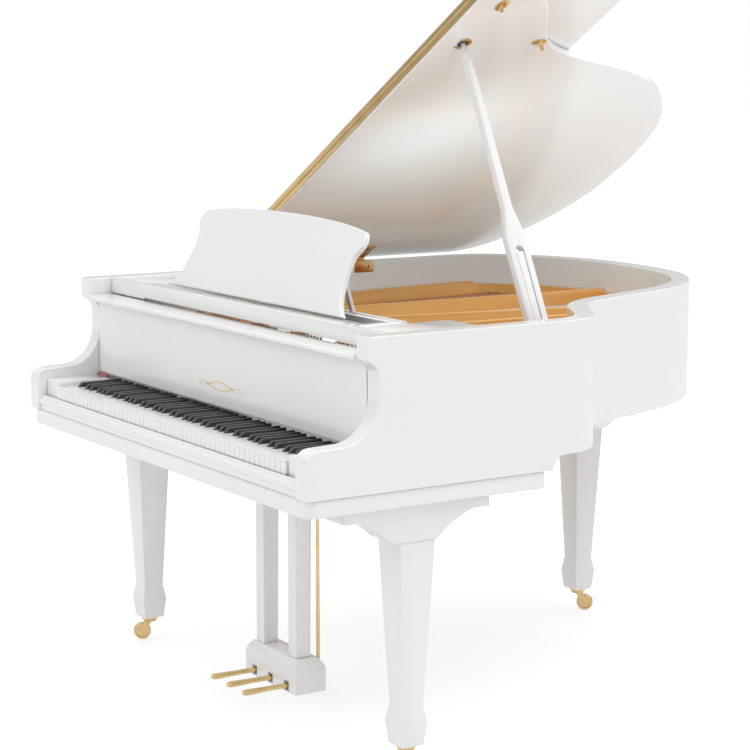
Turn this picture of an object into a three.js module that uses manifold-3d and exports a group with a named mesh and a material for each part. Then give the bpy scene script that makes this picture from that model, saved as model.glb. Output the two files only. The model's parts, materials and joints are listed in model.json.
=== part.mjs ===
// Small grand piano standing on three legs, lid propped open, music desk up.
// Millimetres. +X is the treble side, +Y runs from the keyboard to the tail, +Z is up.
import * as THREE from 'three';
import { mergeVertices } from 'three/addons/utils/BufferGeometryUtils.js';
import Module from 'manifold-3d';

const wasm = await Module();
wasm.setup();

// ---- driving dimensions -------------------------------------------------
const CASE_WIDTH = 1480;          // over the two cheeks
const CASE_LENGTH = 1684;         // keyboard front to tail
const CASE_DEPTH = 389;           // underside of the keybed to the top of the rim
const KEYBED_BOTTOM = 645;        // height of the keybed's underside over the floor
const KEYBED_DEPTH = 645;         // keybed, front to back
const RIM_WALL = 50;              // thickness of the bent rim
const STRAIGHT_END = 700;         // where the straight side turns into the bend
const GAP = 0.4;                  // air between neighbouring pieces
const WHITE_COUNT = 52;
const WHITE_FRONT = 22;
const BLACK_FRONT = 73;
const KEY_TAIL = 190;             // rear end of the key levers that carry the tops
const LID_THICKNESS = 17;
const LID_SPLIT = 620;            // where the front flap meets the main lid
const FLAP_FRONT = 168;
const LID_ANGLE = 30.4;           // how far the lid stands open
const LID_LIFT = 4;               // air between the closed lid and the rim
const DESK_LEAN = 25;             // music desk, back from upright
const LEG_TOP_WIDTH = 94.5;
const LEG_ANKLE_WIDTH = 57;
const LEG_BULGE_WIDTH = 71;
const LEG_FOOT_WIDTH = 59;
const FRONT_LEG_Y = 311;
const WHEEL_RADIUS = 24.5;
const WHEEL_WIDTH = 17;
const CASTER_TRAIL = 22;
const PEDAL_Z = 54;
const LYRE_BOX_WIDTH = 258;

// Heights that follow the keybed and the top of the case.
const CASE_TOP = KEYBED_BOTTOM + CASE_DEPTH;
const ARM_BOTTOM = KEYBED_BOTTOM + 40;
const RIM_BOTTOM = KEYBED_BOTTOM + 74;
const ARM_TOP = KEYBED_BOTTOM + 153;
const ARM_RISE = CASE_TOP - ARM_TOP;
const WHITE_TOP = KEYBED_BOTTOM + 110;
const BLACK_TOP = WHITE_TOP + 12;
const SOUNDBOARD_Z = CASE_TOP - 172;
const PLATE_Z = CASE_TOP - 134;   // underside of the iron plate
const RIB_TOP = CASE_TOP - 78;    // top of the plate's tall ribs
const TRAY_Z = CASE_TOP - 22;     // underside of the sliding tray
const LID_BOTTOM = CASE_TOP + LID_LIFT;
const LID_TOP = LID_BOTTOM + LID_THICKNESS;
const LEG_FOOT_Z = WHEEL_RADIUS * 2 + 19;
const BRACKET_FOOT = KEYBED_BOTTOM - 89;

// A place behind the straight side, as a share of the way to the tail.
function alongBend(share) {
  return STRAIGHT_END + (CASE_LENGTH - STRAIGHT_END) * share;
}

// Widths that follow the case.
const HALF = CASE_WIDTH / 2;
const INNER = HALF - RIM_WALL;
const WHITE_PITCH = (INNER * 2 - 158) / WHITE_COUNT;
const BLACK_WIDTH = WHITE_PITCH * 0.51;
const TRAY_HALF = INNER - 142;
const FRONT_LEG_X = HALF - 80;
const REAR_LEG_X = -HALF * 0.3486;
const REAR_LEG_Y = CASE_LENGTH - 155;
const PEDAL_PITCH = LYRE_BOX_WIDTH * 0.318;
const POST_X = LYRE_BOX_WIDTH * 0.32;
const ROD_X = LYRE_BOX_WIDTH / 2 - 19;
const FRONT_HINGE_Y = STRAIGHT_END + 20;
const REAR_HINGE_Y = alongBend(0.3537);
const HINGE_X = -HALF - 4.5;
const HINGE_Z = CASE_TOP + 2.15;
const FLAP_AXIS_Y = LID_SPLIT - 2;
const FLAP_AXIS_Z = LID_TOP + 2;
const FLAP_EDGE = LID_SPLIT - 4;
const PROP_BASE = new THREE.Vector3(INNER - 36, STRAIGHT_END - 10, CASE_TOP - 49);
const PROP_CUP_X = HALF - 240;    // cup on the lid, measured with the lid shut

// ---- materials ----------------------------------------------------------
function material(color, roughness, metalness) {
  return new THREE.MeshStandardMaterial({ color, roughness, metalness });
}
const lacquer = material(0xf1f1ef, 0.18, 0);
const ivory = material(0xf6f5f0, 0.22, 0);
const ebony = material(0x17171a, 0.2, 0);
const brass = material(0xc9983f, 0.25, 1);
const gold = material(0xc98a3a, 0.45, 0.55);
const spruce = material(0xd9b483, 0.6, 0);
const maple = material(0xb98d5e, 0.6, 0);
const felt = material(0x5c1016, 0.95, 0);

// ---- shape helpers ------------------------------------------------------
function weld(geometry) {
  const bare = geometry.clone();
  for (const name of Object.keys(bare.attributes)) {
    if (name !== 'position') bare.deleteAttribute(name);
  }
  return mergeVertices(bare, 1e-4);
}

function toSolid(geometry) {
  const bare = weld(geometry);
  const mesh = new wasm.Mesh({
    numProp: 3,
    vertProperties: new Float32Array(bare.attributes.position.array),
    triVerts: new Uint32Array(bare.index.array),
  });
  return new wasm.Manifold(mesh);
}

function fromSolid(solid) {
  const mesh = solid.getMesh();
  const geometry = new THREE.BufferGeometry();
  const points = new THREE.Float32BufferAttribute(mesh.vertProperties, 3);
  geometry.setAttribute('position', points);
  geometry.setIndex(Array.from(mesh.triVerts));
  geometry.computeVertexNormals();
  return geometry;
}

function join(pieces) {
  let solid = toSolid(pieces[0]);
  for (const piece of pieces.slice(1)) solid = solid.add(toSolid(piece));
  return fromSolid(solid);
}

function cut(geometry, tools) {
  let solid = toSolid(geometry);
  for (const tool of tools) solid = solid.subtract(toSolid(tool));
  return fromSolid(solid);
}

function box(x0, x1, y0, y1, z0, z1) {
  const shape = new THREE.BoxGeometry(x1 - x0, y1 - y0, z1 - z0);
  shape.translate((x0 + x1) / 2, (y0 + y1) / 2, (z0 + z1) / 2);
  return shape;
}

function extrude(shape, depth, steps = 10) {
  return new THREE.ExtrudeGeometry(shape, { depth, bevelEnabled: false, curveSegments: steps });
}

// A plan drawn in (x, y), raised from z0 to z1.
function raise(shape, z0, z1, steps = 10) {
  return extrude(shape, z1 - z0, steps).translate(0, 0, z0);
}

// A side profile drawn in (y, z), run along X from x0 to x1.
function runAlongX(shape, x0, x1, steps = 10) {
  const turn = new THREE.Matrix4().set(0, 0, 1, x0, 1, 0, 0, 0, 0, 1, 0, 0, 0, 0, 0, 1);
  return extrude(shape, x1 - x0, steps).applyMatrix4(turn);
}

// A front profile drawn in (x, z), run along Y from y0 to y1.
function runAlongY(shape, y0, y1, steps = 10) {
  return extrude(shape, y1 - y0, steps).rotateX(Math.PI / 2).translate(0, y1, 0);
}

function polygon(points) {
  return new THREE.Shape(points.map(([a, b]) => new THREE.Vector2(a, b)));
}

// A round bar of radius r from point a to point b.
function bar(a, b, r, sides = 16) {
  const along = b.clone().sub(a);
  const shape = new THREE.CylinderGeometry(r, r, along.length(), sides);
  const up = new THREE.Vector3(0, 1, 0);
  shape.applyQuaternion(new THREE.Quaternion().setFromUnitVectors(up, along.clone().normalize()));
  const middle = a.clone().add(b).multiplyScalar(0.5);
  return shape.translate(middle.x, middle.y, middle.z);
}

function piece(name, geometry, look) {
  const mesh = new THREE.Mesh(weld(geometry), look);
  mesh.name = name;
  return mesh;
}

// ---- plan of the case ---------------------------------------------------
// The bent side: straight treble side, round shoulder, hollow waist, round tail and back.
function bentSide(start) {
  const path = new THREE.Path();
  const bend = (...shares) => path.bezierCurveTo(...shares.map((share, i) => (
    i % 2 ? alongBend(share) : HALF * share)));
  path.moveTo(HALF, start);
  path.lineTo(HALF, STRAIGHT_END);
  bend(1, 0.112, 0.899, 0.147, 0.757, 0.208);
  bend(0.635, 0.264, 0.601, 0.346, 0.554, 0.457);
  bend(0.493, 0.61, 0.446, 0.762, 0.203, 0.894);
  bend(0.027, 0.99, -0.203, 1, -0.405, 1);
  bend(-0.622, 1, -1, 0.884, -1, 0.691);
  path.lineTo(-HALF, start);
  return path.getPoints(9);
}

// Shortest distance from a point to a line of points.
function fromLine(point, line) {
  let nearest = Infinity;
  for (let i = 1; i < line.length; i += 1) {
    const edge = line[i].clone().sub(line[i - 1]);
    const reach = point.clone().sub(line[i - 1]);
    const share = THREE.MathUtils.clamp(reach.dot(edge) / edge.lengthSq(), 0, 1);
    nearest = Math.min(nearest, reach.addScaledVector(edge, -share).length());
  }
  return nearest;
}

// The same line moved inward by a constant distance, with mitred corners. Points that
// a tight bend would fold over come out too close to the line and are left out.
function moveInward(line, distance) {
  const last = line.length - 1;
  const heading = (i) => line[i + 1].clone().sub(line[i]).normalize();
  const moved = line.map((point, i) => {
    const before = heading(Math.max(i - 1, 0));
    const after = heading(Math.min(i, last - 1));
    const along = before.clone().add(after).normalize();
    const inward = new THREE.Vector2(-along.y, along.x);
    return point.clone().addScaledVector(inward, distance / along.dot(after));
  });
  return moved.filter((point) => fromLine(point, line) > distance - 0.05);
}

function planInside(start, distance) {
  return new THREE.Shape(moveInward(bentSide(start), distance));
}

function planRing(start, outside, inside) {
  const outer = moveInward(bentSide(start), outside);
  const inner = moveInward(bentSide(start), inside);
  return new THREE.Shape(outer.concat(inner.reverse()));
}

// Everything above and in front of an arm: rounded nose, level top, swept riser, small cove.
function armRelief() {
  const shape = new THREE.Shape();
  shape.moveTo(-20, ARM_TOP - 35);
  shape.lineTo(0, ARM_TOP - 35);
  shape.quadraticCurveTo(1, ARM_TOP - 3, 38, ARM_TOP - 2);
  shape.lineTo(100, ARM_TOP);
  shape.bezierCurveTo(150, ARM_TOP + 4, 187, ARM_TOP + ARM_RISE * 0.21, 187, ARM_TOP + ARM_RISE * 0.43);
  shape.lineTo(187, ARM_TOP + ARM_RISE * 0.61);
  shape.quadraticCurveTo(187, CASE_TOP - 60, 157, CASE_TOP - 54);
  shape.lineTo(157, CASE_TOP + 40);
  shape.lineTo(-20, CASE_TOP + 40);
  return shape;
}

function undersideRelief() {
  const shape = new THREE.Shape();
  const step = RIM_BOTTOM - ARM_BOTTOM;
  const start = STRAIGHT_END - 33;
  shape.moveTo(start, ARM_BOTTOM - 40);
  shape.lineTo(start, ARM_BOTTOM);
  shape.absarc(start + step, ARM_BOTTOM, step, Math.PI, Math.PI / 2, true);
  shape.lineTo(CASE_LENGTH + 40, RIM_BOTTOM);
  shape.lineTo(CASE_LENGTH + 40, ARM_BOTTOM - 40);
  return shape;
}

function rimShape() {
  const ring = raise(planRing(0, 0, RIM_WALL), ARM_BOTTOM, CASE_TOP);
  const arm = runAlongX(armRelief(), -HALF - 20, HALF + 20, 8);
  const under = runAlongX(undersideRelief(), -HALF - 20, HALF + 20, 6);
  return cut(ring, [arm, under]);
}

// Ledge inside the rim, crossed by the wooden beams, with the block over the rear leg.
function innerRimShape() {
  const low = RIM_BOTTOM + 11;
  const ledge = raise(planRing(650, RIM_WALL + GAP, RIM_WALL + 34), low, SOUNDBOARD_Z - GAP);
  const front = box(-INNER + 1, INNER - 1, 655, 705, low, SOUNDBOARD_Z - GAP);
  const beams = [-32, -4, 22].map((turn) => {
    const beam = box(-32, 32, 0, CASE_LENGTH - 804, low + 5, SOUNDBOARD_Z - 22);
    return beam.rotateZ(THREE.MathUtils.degToRad(turn)).translate(-HALF * 0.243, 712, 0);
  });
  const inside = toSolid(raise(planInside(650, RIM_WALL + GAP), low - 10, SOUNDBOARD_Z));
  let solid = toSolid(ledge).add(toSolid(front).intersect(inside));
  for (const beam of beams) solid = solid.add(toSolid(beam).intersect(inside));
  return fromSolid(solid);
}

function legBlockShape() {
  const wide = 215;
  const back = CASE_LENGTH - RIM_WALL + 12;
  return box(REAR_LEG_X - wide, REAR_LEG_X + wide, REAR_LEG_Y - 75, back,
    KEYBED_BOTTOM, RIM_BOTTOM - GAP);
}

function soundboardShape() {
  return raise(planInside(650, RIM_WALL + 1), SOUNDBOARD_Z, SOUNDBOARD_Z + 9);
}

// Iron plate: flat web with openings, skirt down to the soundboard edge, tall radiating ribs.
function plateShape() {
  const web = raise(planInside(400, RIM_WALL + 4), PLATE_Z, PLATE_Z + 10);
  const hole = raise(planInside(640, RIM_WALL + 62), PLATE_Z - 20, PLATE_Z + 40);
  const skirt = raise(planRing(640, RIM_WALL + 4, RIM_WALL + 26), SOUNDBOARD_Z + 9 + GAP,
    PLATE_Z + 5);
  const edge = raise(planRing(640, RIM_WALL + 4, RIM_WALL + 22), PLATE_Z + 4, RIB_TOP - 8);
  const limit = toSolid(raise(planInside(400, RIM_WALL + 6), PLATE_Z - 40, RIB_TOP + 20));
  const ribs = [[-0.812, 8], [-0.478, -2], [-0.159, -10], [0.159, -4], [0.478, 12]].map(([share, turn]) => {
    const rib = box(-11, 11, 0, CASE_LENGTH - 534, PLATE_Z + 2, RIB_TOP);
    rib.rotateZ(THREE.MathUtils.degToRad(turn));
    return toSolid(rib.translate(INNER * share, 560, 0)).intersect(limit);
  });
  let solid = toSolid(web).subtract(toSolid(hole)).add(toSolid(skirt)).add(toSolid(edge));
  for (const rib of ribs) solid = solid.add(rib);
  solid = solid.add(toSolid(box(-INNER + 8, INNER - 8, 545, 590, PLATE_Z + 2, PLATE_Z + 40)));
  return fromSolid(solid);
}

function pinBlockShape() {
  return box(-INNER + 1, INNER - 1, 402, 600, PLATE_Z - 38, PLATE_Z - GAP);
}

// ---- keyboard -----------------------------------------------------------
const KEY_SPAN = WHITE_PITCH * WHITE_COUNT;
const BLOCK_INSIDE = KEY_SPAN / 2 + 3;

function isBlackAfter(white) {
  const note = (white + 5) % 7;     // the lowest white key is an A; C counts as 0
  return note !== 2 && note !== 6 && white < WHITE_COUNT - 1;
}

function whiteLeft(i) {
  return -KEY_SPAN / 2 + i * WHITE_PITCH;
}

function blackCentre(i) {
  const note = (i + 5) % 7;
  const shift = [-2, 2, 0, -2.5, 0, 2.5, 0][note];
  return whiteLeft(i + 1) + shift;
}

// White keys: full width in front, a slot for each black key, a thin bar joining their tails.
function whiteGroupShape(from, to) {
  const slots = [];
  const joint = KEY_TAIL - 14;
  const half = BLACK_WIDTH / 2 + 1.2;
  for (let i = Math.max(from - 1, 0); i < to; i += 1) {
    const x = blackCentre(i);
    if (!isBlackAfter(i)) continue;
    slots.push(box(x - half, x + half, BLACK_FRONT - 1.5, joint - 1, WHITE_TOP - 35, WHITE_TOP + 5));
    slots.push(box(x - half, x + half, joint - 2, 220, WHITE_TOP - 21, WHITE_TOP + 5));
  }
  let keys = null;
  for (let i = from; i < to; i += 1) {
    const x = whiteLeft(i);
    const right = x + WHITE_PITCH - 0.5;
    const key = toSolid(box(x + 0.5, right, WHITE_FRONT, KEY_TAIL, WHITE_TOP - 32, WHITE_TOP));
    keys = keys ? keys.add(key) : key;
  }
  for (const slot of slots) keys = keys.subtract(toSolid(slot));
  const rail = box(whiteLeft(from) + 0.5, whiteLeft(to) - 0.5, joint, KEY_TAIL,
    WHITE_TOP - 33, WHITE_TOP - 25);
  return fromSolid(keys.add(toSolid(rail)));
}

function blackKeyProfile() {
  const low = WHITE_TOP - 16;
  return polygon([[BLACK_FRONT, low], [KEY_TAIL + 9, low], [KEY_TAIL + 9, BLACK_TOP],
    [BLACK_FRONT + 9, BLACK_TOP], [BLACK_FRONT + 2, BLACK_TOP - 10]]);
}

function blackGroupShape(from, to) {
  let keys = null;
  let first = null;
  let last = null;
  for (let i = from; i < to; i += 1) {
    if (!isBlackAfter(i)) continue;
    const x = blackCentre(i);
    const key = toSolid(runAlongX(blackKeyProfile(), x - BLACK_WIDTH / 2, x + BLACK_WIDTH / 2));
    keys = keys ? keys.add(key) : key;
    first = first === null ? x : first;
    last = x;
  }
  const rail = box(first - 6, last + 6, KEY_TAIL + 1, KEY_TAIL + 9, BLACK_TOP - 15, BLACK_TOP - 5);
  return fromSolid(keys.add(toSolid(rail)));
}

// Key frame: base board, balance rail under the keys and a solid block beside each end.
function keyFrameShape() {
  const base = box(-INNER + 1, INNER - 1, 34, 330, ARM_BOTTOM + 0.2, ARM_BOTTOM + 14);
  const rail = box(-KEY_SPAN / 2, KEY_SPAN / 2, 250, 266, ARM_BOTTOM + 10, WHITE_TOP - 19);
  const blocks = [-1, 1].map((side) => {
    const a = side * BLOCK_INSIDE;
    const b = side * (INNER - 1);
    return box(Math.min(a, b), Math.max(a, b), 28, 176, ARM_BOTTOM + 0.2, BLACK_TOP + 1);
  });
  return join([base, rail, ...blocks]);
}

// Key slip: flat face, rounded band, set-back top edge.
function keySlipShape() {
  const shape = new THREE.Shape();
  const back = WHITE_FRONT - 0.7;
  shape.moveTo(back, ARM_BOTTOM + GAP);
  shape.lineTo(7, ARM_BOTTOM + GAP);
  shape.lineTo(7, ARM_BOTTOM + 15);
  shape.bezierCurveTo(1, ARM_BOTTOM + 16, 1, ARM_BOTTOM + 30, 8, ARM_BOTTOM + 31);
  shape.lineTo(back - 6.5, ARM_BOTTOM + 33);
  shape.quadraticCurveTo(back - 5, WHITE_TOP - 31.4, back - 2.5, WHITE_TOP - 31.4);
  shape.lineTo(back, WHITE_TOP - 31.4);
  return runAlongX(shape, -INNER + 0.5, INNER - 0.5, 6);
}

function keybedShape() {
  const half = HALF - 4;
  const round = 30;
  const shape = new THREE.Shape();
  shape.moveTo(-half, KEYBED_DEPTH);
  shape.lineTo(-half, 4 + round);
  shape.absarc(-half + round, 4 + round, round, Math.PI, Math.PI * 1.5, false);
  shape.absarc(half - round, 4 + round, round, Math.PI * 1.5, Math.PI * 2, false);
  shape.lineTo(half, KEYBED_DEPTH);
  return raise(shape, KEYBED_BOTTOM, ARM_BOTTOM - GAP, 6);
}

// ---- fallboard and music shelf ------------------------------------------
// Upright panel behind the keys with a rounded lip along its top.
function fallboardShape() {
  const shape = new THREE.Shape();
  const low = CASE_TOP - 59;
  const top = CASE_TOP - 44;
  shape.moveTo(185, BLACK_TOP + 9);
  shape.lineTo(203, BLACK_TOP + 9);
  shape.lineTo(203, low - 9);
  shape.lineTo(222, low);
  shape.lineTo(222, top);
  shape.lineTo(158, top);
  shape.bezierCurveTo(148, top, 148, low, 158, low);
  shape.lineTo(185, low - 9);
  return runAlongX(shape, -INNER + 2, INNER - 2, 6);
}

// Felt strip glued under the panel's foot.
function fallboardFeltShape() {
  return box(-INNER + 6, INNER - 6, 187, 201, BLACK_TOP + 5.8, BLACK_TOP + 8.7);
}

// Board across the case above the fallboard, relieved along its middle to leave a finger slot.
function frontBoardShape() {
  const board = box(-INNER + 0.5, INNER - 0.5, 226, 240, CASE_TOP - 42, CASE_TOP - 0.3);
  const wide = INNER * 0.71;
  return cut(board, [box(-wide, wide, 220, 250, CASE_TOP - 50, CASE_TOP - 38.5)]);
}

// Side ledge: top board with a lower tongue that the sliding tray rests on.
function deskRailShape(side) {
  const a = side * (TRAY_HALF + 5);
  const b = side * (INNER - 0.5);
  const c = side * (TRAY_HALF - 18);
  const top = box(Math.min(a, b), Math.max(a, b), 241, 500, TRAY_Z - 8, CASE_TOP - 4);
  const tongue = box(Math.min(a, c), Math.max(a, c), 241, 500, TRAY_Z - 8, TRAY_Z - GAP);
  return join([top, tongue]);
}

function deskTrayShape() {
  const frame = box(-TRAY_HALF, TRAY_HALF, 244, 372, TRAY_Z, CASE_TOP - 4);
  const lip = box(-TRAY_HALF, TRAY_HALF, 372, 386, TRAY_Z, CASE_TOP);
  const left = box(-TRAY_HALF + 40, -20, 296, 358, TRAY_Z - 12, CASE_TOP + 6);
  const right = box(20, TRAY_HALF - 40, 296, 358, TRAY_Z - 12, CASE_TOP + 6);
  return cut(join([frame, lip.translate(0, -0.001, 0)]), [left, right]);
}

// Music desk: arched top, small shoulders and hollow sides, flaring to a wide foot.
function musicDeskShape() {
  const shape = new THREE.Shape();
  const h = 228;
  shape.moveTo(437, 6);
  shape.bezierCurveTo(400, 30, 380, 80, 384, 140);
  shape.bezierCurveTo(386, 165, 405, 172, 408, 185);
  shape.bezierCurveTo(411, 200, 402, 214, 396, h - 10);
  shape.bezierCurveTo(250, h + 22, -250, h + 22, -396, h - 10);
  shape.bezierCurveTo(-402, 214, -411, 200, -408, 185);
  shape.bezierCurveTo(-405, 172, -386, 165, -384, 140);
  shape.bezierCurveTo(-380, 80, -400, 30, -437, 6);
  const board = runAlongY(shape, 0, 15, 8);
  return board.scale(TRAY_HALF / 548, 1, 1);
}

// Prop behind the desk: two short legs hung from one cross bar.
function deskStrutShape(top, foot) {
  const along = foot.clone().sub(top).normalize();
  const side = new THREE.Vector2(-along.y, along.x).multiplyScalar(4);
  const corners = [top.clone().add(side), top.clone().sub(side), foot.clone().sub(side),
    foot.clone().add(side)];
  const outline = new THREE.Shape(corners.reverse());
  const wide = TRAY_HALF * 0.633;
  const legs = [-wide, wide - 14].map((x) => runAlongX(outline, x, x + 14));
  const a = new THREE.Vector3(-wide, top.x, top.y);
  const b = new THREE.Vector3(wide, top.x, top.y);
  return join([bar(a, b, 5, 12), ...legs]);
}

// ---- lid ----------------------------------------------------------------
function mainLidShape() {
  return raise(new THREE.Shape(bentSide(LID_SPLIT)), LID_BOTTOM, LID_TOP);
}

function lidFlapShape() {
  const r = 18;
  const shape = new THREE.Shape();
  shape.moveTo(-HALF, FLAP_EDGE);
  shape.lineTo(-HALF, FLAP_FRONT + r);
  shape.absarc(-HALF + r, FLAP_FRONT + r, r, Math.PI, Math.PI * 1.5, false);
  shape.absarc(HALF - r, FLAP_FRONT + r, r, Math.PI * 1.5, Math.PI * 2, false);
  shape.lineTo(HALF, FLAP_EDGE);
  return raise(shape, LID_BOTTOM, LID_TOP, 5);
}

function longHingeShape() {
  const leaf = box(-HALF + 6, HALF - 6, LID_SPLIT - 1.8, LID_SPLIT - 0.4, LID_BOTTOM + 1, LID_TOP);
  const a = new THREE.Vector3(-HALF + 6, FLAP_AXIS_Y, FLAP_AXIS_Z);
  const b = new THREE.Vector3(HALF - 6, FLAP_AXIS_Y, FLAP_AXIS_Z);
  return join([leaf, bar(a, b, 2.3, 12)]);
}

function flapLeafShape() {
  return box(-HALF + 6, HALF - 6, LID_SPLIT - 3.6, LID_SPLIT - 2.3, LID_BOTTOM + 1, LID_TOP - 1);
}

// Side hinge, lower half: strap over the rim, down its inner face, one middle barrel.
function sideHingeRimShape(y) {
  const inner = box(-INNER + 0.3, -INNER + 2.2, y - 33, y + 33, CASE_TOP - 32, CASE_TOP + 2);
  const strap = box(HINGE_X, -INNER + 2.2, y - 33, y + 33, CASE_TOP + 0.3, CASE_TOP + 1.9);
  const ends = [-33, 11.5].map((at) => box(HINGE_X - 6, HINGE_X + 4.4, y + at - 1, y + at + 22.5,
    CASE_TOP - 5, CASE_TOP + 8));
  const a = new THREE.Vector3(HINGE_X, y - 11, HINGE_Z);
  const b = new THREE.Vector3(HINGE_X, y + 11, HINGE_Z);
  const plain = cut(join([inner, strap]), ends);
  return join([plain, bar(a, b, 3.6, 14)]);
}

// Side hinge, upper half: leaf under the lid with the two outer barrels.
function sideHingeLidShape(y) {
  const leaf = box(HINGE_X, -HALF + 84, y - 33, y + 33, CASE_TOP + 2.3, LID_BOTTOM - 0.3);
  const middle = box(HINGE_X - 6, HINGE_X + 4.4, y - 11.5, y + 11.5, CASE_TOP, CASE_TOP + 8);
  const barrels = [[-33, -11.5], [11.5, 33]].map(([from, to]) => bar(
    new THREE.Vector3(HINGE_X, y + from, HINGE_Z), new THREE.Vector3(HINGE_X, y + to, HINGE_Z), 3.6, 14));
  return join([cut(leaf, [middle]), ...barrels]);
}

// Cup for the prop: flat ring, open towards the keyboard so the prop can swing out.
function propCupShape() {
  const ring = new THREE.Shape();
  ring.absarc(0, 0, 23, 0, Math.PI * 2, false);
  const hole = new THREE.Path();
  hole.absarc(0, 0, 14.5, 0, Math.PI * 2, true);
  ring.holes.push(hole);
  const disc = raise(ring, LID_BOTTOM - 2.6, LID_BOTTOM - 0.3, 14);
  const mouth = box(-14.5, 14.5, -40, 0, LID_BOTTOM - 40, LID_BOTTOM + 40);
  return cut(disc, [mouth]).translate(PROP_CUP_X, PROP_BASE.y, 0);
}

// Oval plate with a stub, the catch under the front of the lid.
function lidCatchShape() {
  const plate = new THREE.CylinderGeometry(16, 16, 2.4, 20).rotateX(Math.PI / 2);
  plate.scale(1.5, 1, 1);
  const stub = new THREE.CylinderGeometry(6, 5, 12, 14).rotateX(Math.PI / 2).translate(-8, 0, -6);
  return join([plate, stub]).translate(HALF - 64, STRAIGHT_END - 3, LID_BOTTOM - 1.6);
}

function spareCupShape() {
  const plate = new THREE.CylinderGeometry(17, 17, 2.4, 20).rotateX(Math.PI / 2);
  plate.scale(0.8, 1.4, 1);
  const stub = new THREE.CylinderGeometry(6.5, 5, 22, 14).rotateX(Math.PI / 2).translate(0, 0, -11);
  return join([plate, stub]).translate(HALF * 0.6865, alongBend(0.2215), LID_BOTTOM - 1.6);
}

// ---- lid prop -----------------------------------------------------------
// Local frame: Z along the prop, Y its wide side, X the pivot pin's direction.
function lidPropShape(length) {
  const outline = polygon([[-22, -24], [22, -24], [28, -12], [28, 250], [11, 325], [8, length - 26],
    [-8, length - 26], [-11, 325], [-28, 250], [-28, -12]]);
  const turned = outline.getPoints().map((p) => [p.x, p.y]);
  const stick = runAlongX(polygon(turned), -10, 10);
  const tip = new THREE.CylinderGeometry(5.5, 7.5, 27, 14).rotateX(Math.PI / 2);
  const slot = join([box(-20, 20, -12, 12, 34, 216),
    bar(new THREE.Vector3(-20, 0, 216), new THREE.Vector3(20, 0, 216), 12, 24)]);
  const bore = bar(new THREE.Vector3(-20, 0, 0), new THREE.Vector3(20, 0, 0), 6.2, 20);
  return cut(join([stick, tip.translate(0, 0, length - 13.5)]), [slot, bore]);
}

function shortPropShape() {
  const stick = box(-8.5, 8.5, -9.5, 9.5, 38, 214);
  return cut(stick, [bar(new THREE.Vector3(0, -20, 52), new THREE.Vector3(0, 20, 52), 3, 12)]);
}

function propBracketShape() {
  const plate = box(INNER - 3, INNER - 0.3, PROP_BASE.y - 40, PROP_BASE.y + 7, CASE_TOP - 84, CASE_TOP - 8);
  const pinAxis = new THREE.Vector3(1, 0, 0).applyAxisAngle(new THREE.Vector3(0, 1, 0), propTurn());
  const from = PROP_BASE.clone().addScaledVector(pinAxis, -13);
  const to = PROP_BASE.clone().addScaledVector(pinAxis, 33.6);
  const collar = PROP_BASE.clone().addScaledVector(pinAxis, 10.8);
  const head = PROP_BASE.clone().addScaledVector(pinAxis, -10.8);
  const pin = bar(from, to, 6, 20);
  return join([plate, pin, bar(collar, to, 10, 20), bar(from, head, 9.5, 20)]);
}

function lidPoint(x, y, z) {
  const angle = THREE.MathUtils.degToRad(-LID_ANGLE);
  const point = new THREE.Vector3(x - HINGE_X, y, z - HINGE_Z);
  point.applyAxisAngle(new THREE.Vector3(0, 1, 0), angle);
  return point.add(new THREE.Vector3(HINGE_X, 0, HINGE_Z));
}

function propReach() {
  return lidPoint(PROP_CUP_X, PROP_BASE.y, LID_BOTTOM).sub(PROP_BASE);
}

function propTurn() {
  const reach = propReach();
  return Math.atan2(reach.x, reach.z);
}

// ---- legs and casters ---------------------------------------------------
// Square leg: straight taper, narrow ankle, swelling and foot. Rings of four corners are skinned.
function legShape() {
  const top = BRACKET_FOOT - GAP;
  const rings = [[LEG_FOOT_Z, LEG_FOOT_WIDTH], [LEG_FOOT_Z + 54.5, LEG_BULGE_WIDTH],
    [LEG_FOOT_Z + 94, LEG_ANKLE_WIDTH], [top, LEG_TOP_WIDTH]];
  const profile = rings.map(([z, width]) => new THREE.Vector2(width / Math.SQRT2, z));
  const closed = [new THREE.Vector2(0, LEG_FOOT_Z), ...profile, new THREE.Vector2(0, top)];
  return new THREE.LatheGeometry(closed, 4, Math.PI / 4).rotateX(Math.PI / 2);
}

// Plate under the case with a curved corbel before and behind the leg, which stands under it.
function legBracketShape() {
  const half = LEG_TOP_WIDTH / 2 + 2;
  const flat = KEYBED_BOTTOM - 30;
  const shape = new THREE.Shape();
  shape.moveTo(-half - 146, KEYBED_BOTTOM - GAP);
  shape.lineTo(-half - 146, flat);
  shape.lineTo(-half - 101, flat);
  shape.bezierCurveTo(-half - 71, flat - 15, -half - 46, flat - 30, -half - 15, BRACKET_FOOT + 2);
  shape.lineTo(-half, BRACKET_FOOT);
  shape.lineTo(half, BRACKET_FOOT);
  shape.lineTo(half + 4, BRACKET_FOOT + 1);
  shape.bezierCurveTo(half + 26, flat - 33, half + 61, flat - 12, half + 101, flat);
  shape.lineTo(half + 146, flat);
  shape.lineTo(half + 146, KEYBED_BOTTOM - GAP);
  return runAlongX(shape, -half, half, 7);
}

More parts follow.
